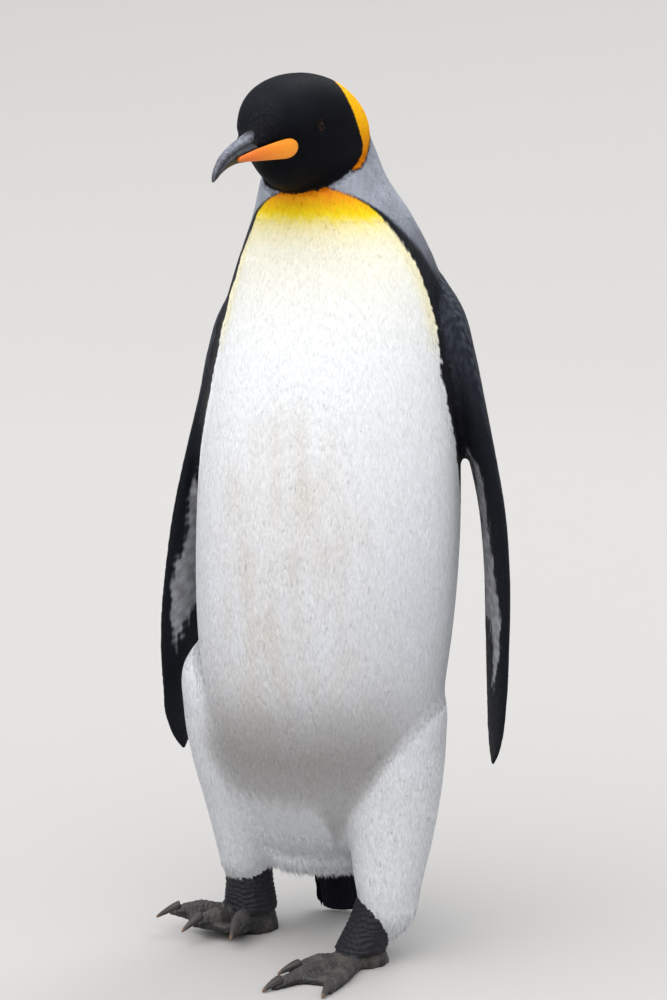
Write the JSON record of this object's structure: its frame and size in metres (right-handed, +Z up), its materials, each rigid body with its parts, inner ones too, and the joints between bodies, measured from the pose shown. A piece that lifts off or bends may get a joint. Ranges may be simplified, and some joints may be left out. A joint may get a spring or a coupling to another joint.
{
  "type": "king penguin model",
  "caption": "Life-size standing king penguin, upright with its head turned aside, flippers hanging and one foot a step ahead.",
  "frame": {"origin": "on the floor, under the middle of the bounding box", "axes": "+Z up; the bird faces -Y and its left side is +X"},
  "size_m": [0.3626, 0.3408, 0.864],
  "materials": {
    "horn": "slate grey horn with a dull sheen",
    "orange_horn": "smooth orange horn plate",
    "eye": "wet, dark brown",
    "black_plumage": "dense short black feathers",
    "grey_plumage": "dense short silver-grey feathers",
    "white_plumage": "dense short white feathers",
    "foot_skin": "dark scaly skin, dusty"
  },
  "bodies": {
    "root": {"bill_upper": "horn", "bill_lower": "horn", "bill_plate_left": "orange_horn", "bill_plate_right": "orange_horn", "eye_left": "eye", "eye_right": "eye", "head": "black_plumage", "neck": "grey_plumage", "trunk": "white_plumage", "tail": "black_plumage", "claw_left_inner": "horn", "claw_left_middle": "horn", "claw_left_outer": "horn", "claw_right_inner": "horn", "claw_right_middle": "horn", "claw_right_outer": "horn", "flipper_left": "black_plumage", "flipper_right": "black_plumage", "leg_left": "white_plumage", "leg_right": "white_plumage", "tarsus_left": "foot_skin", "tarsus_right": "foot_skin", "foot_left": "foot_skin", "foot_right": "foot_skin"}
  },
  "joints": []
}
